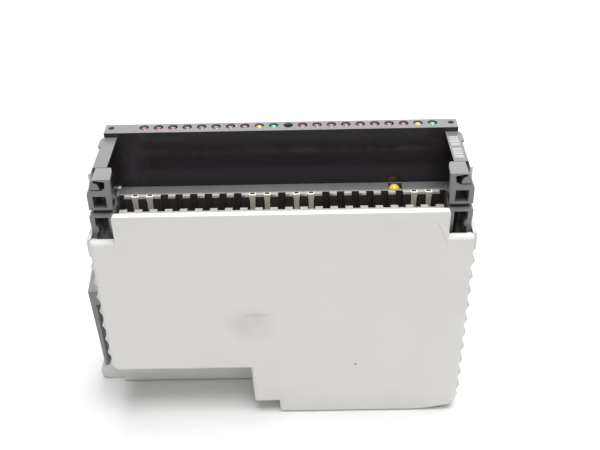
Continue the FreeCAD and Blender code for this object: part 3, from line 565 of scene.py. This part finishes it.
def dome_profile(radius, top, start, steps):
    """(radius, height) points of a dome, from an angle in degrees above the horizon up to its top."""
    points = []
    for i in range(steps):
        angle = math.radians(start + (90 - start) * i / steps)
        points.append((radius * math.cos(angle), top - radius + radius * math.sin(angle)))
    return points + [(0, top)]


def slab(x_span, y_span, z_span):
    """Vertices and faces of a thin block."""
    vertices = [(x, y, z) for z in z_span for y in y_span for x in x_span]
    faces = [(0, 2, 3, 1), (4, 5, 7, 6), (0, 1, 5, 4), (2, 6, 7, 3), (0, 4, 6, 2), (1, 3, 7, 5)]
    return vertices, faces


def tube_faces(sections, around):
    """Faces of a tube through rings of points, closed at both ends."""
    faces = []
    for i in range(sections - 1):
        here, there = i * around, (i + 1) * around
        for j in range(around):
            after = (j + 1) % around
            faces.append((here + j, here + after, there + after, there + j))
    faces.append(tuple(range(around)))
    faces.append(tuple(range((sections - 1) * around, sections * around)))
    return faces


def coil(name, centre, radius, wire, span, turns, along, material):
    """Round-wire spring with closed end turns, along X or Z through a centre; span is where it ends."""
    whole = turns + 2 * CLOSED_TURNS
    free_length = span[1] - span[0] - 2 * wire - 2 * CLOSED_TURNS * CLOSED_PITCH * wire
    steps = round(whole * COIL_STEPS)
    vertices = []
    for i in range(steps + 1):
        turn = whole * i / steps
        opened = min(max(turn - CLOSED_TURNS, 0), turns)
        shut = turn - opened
        height = span[0] + wire + shut * CLOSED_PITCH * wire + free_length * opened / turns
        angle = 2 * math.pi * turn
        for j in range(WIRE_STEPS):
            around = 2 * math.pi * j / WIRE_STEPS
            reach = radius + wire * math.cos(around)
            level = height + wire * math.sin(around)
            first, second = reach * math.cos(angle), reach * math.sin(angle)
            if along == "x":
                vertices.append((level, centre.y + first, centre.z + second))
            else:
                vertices.append((centre.x + first, centre.y + second, level))
    return mesh_object(name, vertices, tube_faces(steps + 1, WIRE_STEPS), material, smooth=True)


def round_edges(node, width, segments=2):
    """Rounds the sharp edges of a CAD node's shown mesh."""
    shown = frame["nodes"][node]
    shown.modifiers.new("weld", "WELD").merge_threshold = WELD_REACH * MM
    flat = shown.modifiers.new("flat", "DECIMATE")
    flat.decimate_type = "DISSOLVE"
    flat.angle_limit = math.radians(FLAT_ANGLE)
    bevel = shown.modifiers.new("round", "BEVEL")
    bevel.width = width * MM
    bevel.segments = segments
    bevel.limit_method = "ANGLE"
    bevel.angle_limit = math.radians(SHARP_ANGLE)
    bevel.harden_normals = True


# ------------------------------------------------------------------ pieces

def paint_frame():
    """Gives every CAD node the finish of its material slot."""
    finishes = {
        "casing_grey": casing_plastic(),
        "frame_grey": frame_plastic(),
        "screen_black": screen_plastic(),
        "socket_brown": socket_plastic(),
        "key_white": moulded("key_white", KEY, roughness=0.42, grain_depth=0.005, grime_and_shade=0.2).material,
        "contact_metal": metal("contact_metal", TIN, roughness=0.28),
        "board_green": solder_mask(),
        "chip_black": moulded("chip_black", CHIP).material,
        "can_metal": metal("can_metal", CAN, along=(1.0, 1.0, 0.1)),
        "steel": metal("steel", STEEL, along=(1.0, 0.1, 1.0)),
        "button_yellow": button_plastic(),
        "ribbon_film": glossy_plastic("ribbon_film", FILM, roughness=0.3).material,
    }
    for tint in LENS_RIM:
        finishes["lamp_" + tint] = lens_plastic("lens_" + tint, LENS_RIM[tint], LENS_CUP_AND_HIGHLIGHT[tint])
    for part in frame["record"]["subparts"]:
        shown = frame["nodes"][part["node"]]
        shown.data.materials.clear()
        shown.data.materials.append(finishes[part["material_slot"]])
    frame["nodes"]["latch_lever"].data.materials[0] = lever_plastic()
    return finishes


def lamps(finishes):
    """A finely rounded lens in place of each CAD lamp."""
    slots = {part["node"]: part["material_slot"] for part in frame["record"]["subparts"]}
    for node, slot in sorted(slots.items()):
        if not slot.startswith("lamp_"):
            continue
        low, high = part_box(node)
        low, high = low / MM, high / MM
        centre = ((low.x + high.x) / 2, (low.y + high.y) / 2)
        radius = (high.x - low.x) / 2
        start = math.degrees(math.acos(radius / LENS_DOME))
        profile = [(0, low.z), (radius, low.z)] + dome_profile(LENS_DOME, high.z, start, LENS_STEPS)
        lens = turned(node + "_lens", profile, centre, finishes[slot])
        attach(lens, BODY)
        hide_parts(node)


def springs(finishes):
    """Springs with closed ends in place of the plain CAD ones."""
    for node, (wire, turns, along, joint) in SPRINGS.items():
        low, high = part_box(node)
        centre = (low + high) / 2 / MM
        axis = Vector((1, 0, 0)) if along == "x" else Vector((0, 0, 1))
        span = (low.dot(axis) / MM + SPRING_PLAY, high.dot(axis) / MM - SPRING_PLAY)
        radius = (high.y - low.y) / MM / 2 - wire
        spring = coil(node + "_coil", centre, radius, wire, span, turns, along, finishes["steel"])
        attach(spring, BODY)
        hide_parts(node)
        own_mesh(spring)


def rail_bars():
    """Two groups of plain printed bars, in pairs, on the right-hand rail."""
    ink = printed_ink()
    for i, step in enumerate(BAR_STEPS):
        for j in range(2):
            start = BAR_FIRST_Y - BAR_PITCH * step - 2 * BAR_WIDE * j
            shape = slab(BAR_X, (start - BAR_WIDE, start), (RAIL_TOP, RAIL_TOP + INK_THICK))
            bar = mesh_object("rail_mark_%d_%d" % (i + 1, j + 1), *shape, ink)
            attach(bar, BODY)


# ------------------------------------------------------------------ stage

def floor():
    """Pale seamless floor under the module."""
    corners = [(-1, -1), (1, -1), (1, 1), (-1, 1)]
    vertices = [(x * FLOOR_REACH, y * FLOOR_REACH, 0) for x, y in corners]
    mesh_object("floor", vertices, [(0, 1, 2, 3)], floor_paint())


def area_light(name, place, size, radiance):
    """Soft rectangular light of a given brightness, aimed at the module."""
    data = bpy.data.lights.new(name, "AREA")
    data.shape = "RECTANGLE"
    data.size = size[0] * MM
    data.size_y = size[1] * MM
    data.energy = radiance * math.pi * data.size * data.size_y
    light = bpy.data.objects.new(name, data)
    light.location = Vector(place) * MM
    light.visible_camera = False
    light.rotation_euler = (Vector(LIGHT_AIM) - Vector(place)).to_track_quat("-Z", "Y").to_euler()
    bpy.context.scene.collection.objects.link(light)


def lighting():
    """Dim even surroundings, a broad light above, one low behind and a weak one in front."""
    world = bpy.data.worlds.new("studio")
    world.use_nodes = True
    surroundings = world.node_tree.nodes["Background"]
    surroundings.inputs["Color"].default_value = (1, 1, 1, 1)
    surroundings.inputs["Strength"].default_value = WORLD_STRENGTH
    bpy.context.scene.world = world
    for name, (place, size, radiance) in LIGHTS.items():
        area_light(name, place, size, radiance)


def camera():
    """Camera at the viewing angle of the reference view."""
    data = bpy.data.cameras.new("camera")
    data.lens = LENS_LENGTH
    data.sensor_width = SENSOR_WIDTH
    data.clip_start = 0.01
    eye = bpy.data.objects.new("camera", data)
    turn = Matrix.Rotation(math.radians(CAMERA_YAW), 4, "Z")
    turn = turn @ Matrix.Rotation(math.radians(90 - CAMERA_PITCH), 4, "X")
    turn = turn @ Matrix.Rotation(math.radians(CAMERA_ROLL), 4, "Z")
    eye.matrix_world = Matrix.Translation(Vector(CAMERA_PLACE) * MM) @ turn
    bpy.context.scene.collection.objects.link(eye)
    bpy.context.scene.camera = eye


finishes = paint_frame()
for node, width in ROUNDS.items():
    round_edges(node, width)
lamps(finishes)
springs(finishes)
rail_bars()
floor()
lighting()
camera()
bpy.context.scene.view_settings.view_transform = "Standard"
